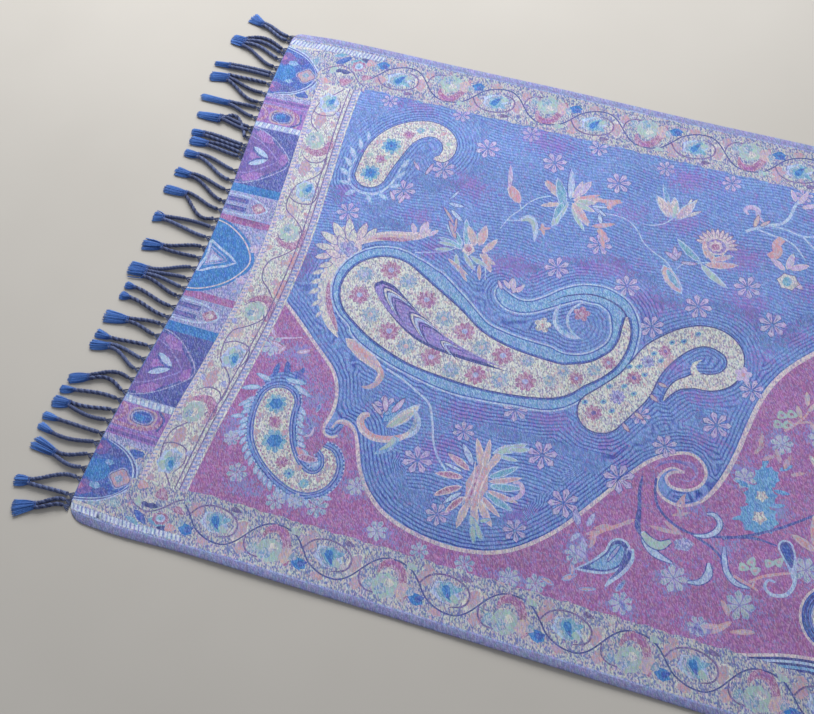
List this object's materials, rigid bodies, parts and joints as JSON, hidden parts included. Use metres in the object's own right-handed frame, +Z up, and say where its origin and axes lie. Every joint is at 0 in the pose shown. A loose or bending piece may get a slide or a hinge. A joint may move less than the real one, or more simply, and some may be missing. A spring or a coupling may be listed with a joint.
{
  "type": "pashmina shawl",
  "caption": "Long rectangular paisley jacquard shawl with vine borders and twisted knotted fringes, laid out flat on a surface.",
  "frame": {"origin": "under the middle of the shawl, on the surface that it lies on", "axes": "+X along the shawl's length, away from the fringe that the picture shows; +Y across it towards the far selvedge; +Z up"},
  "size_m": [1.9722, 0.7324, 0.0043],
  "materials": {
    "cloth": "soft jacquard weave",
    "fringe_yarn": "twisted yarn"
  },
  "bodies": {
    "root": {"woven_panel": "cloth", "fringe_left": "fringe_yarn", "fringe_right": "fringe_yarn"}
  },
  "joints": []
}
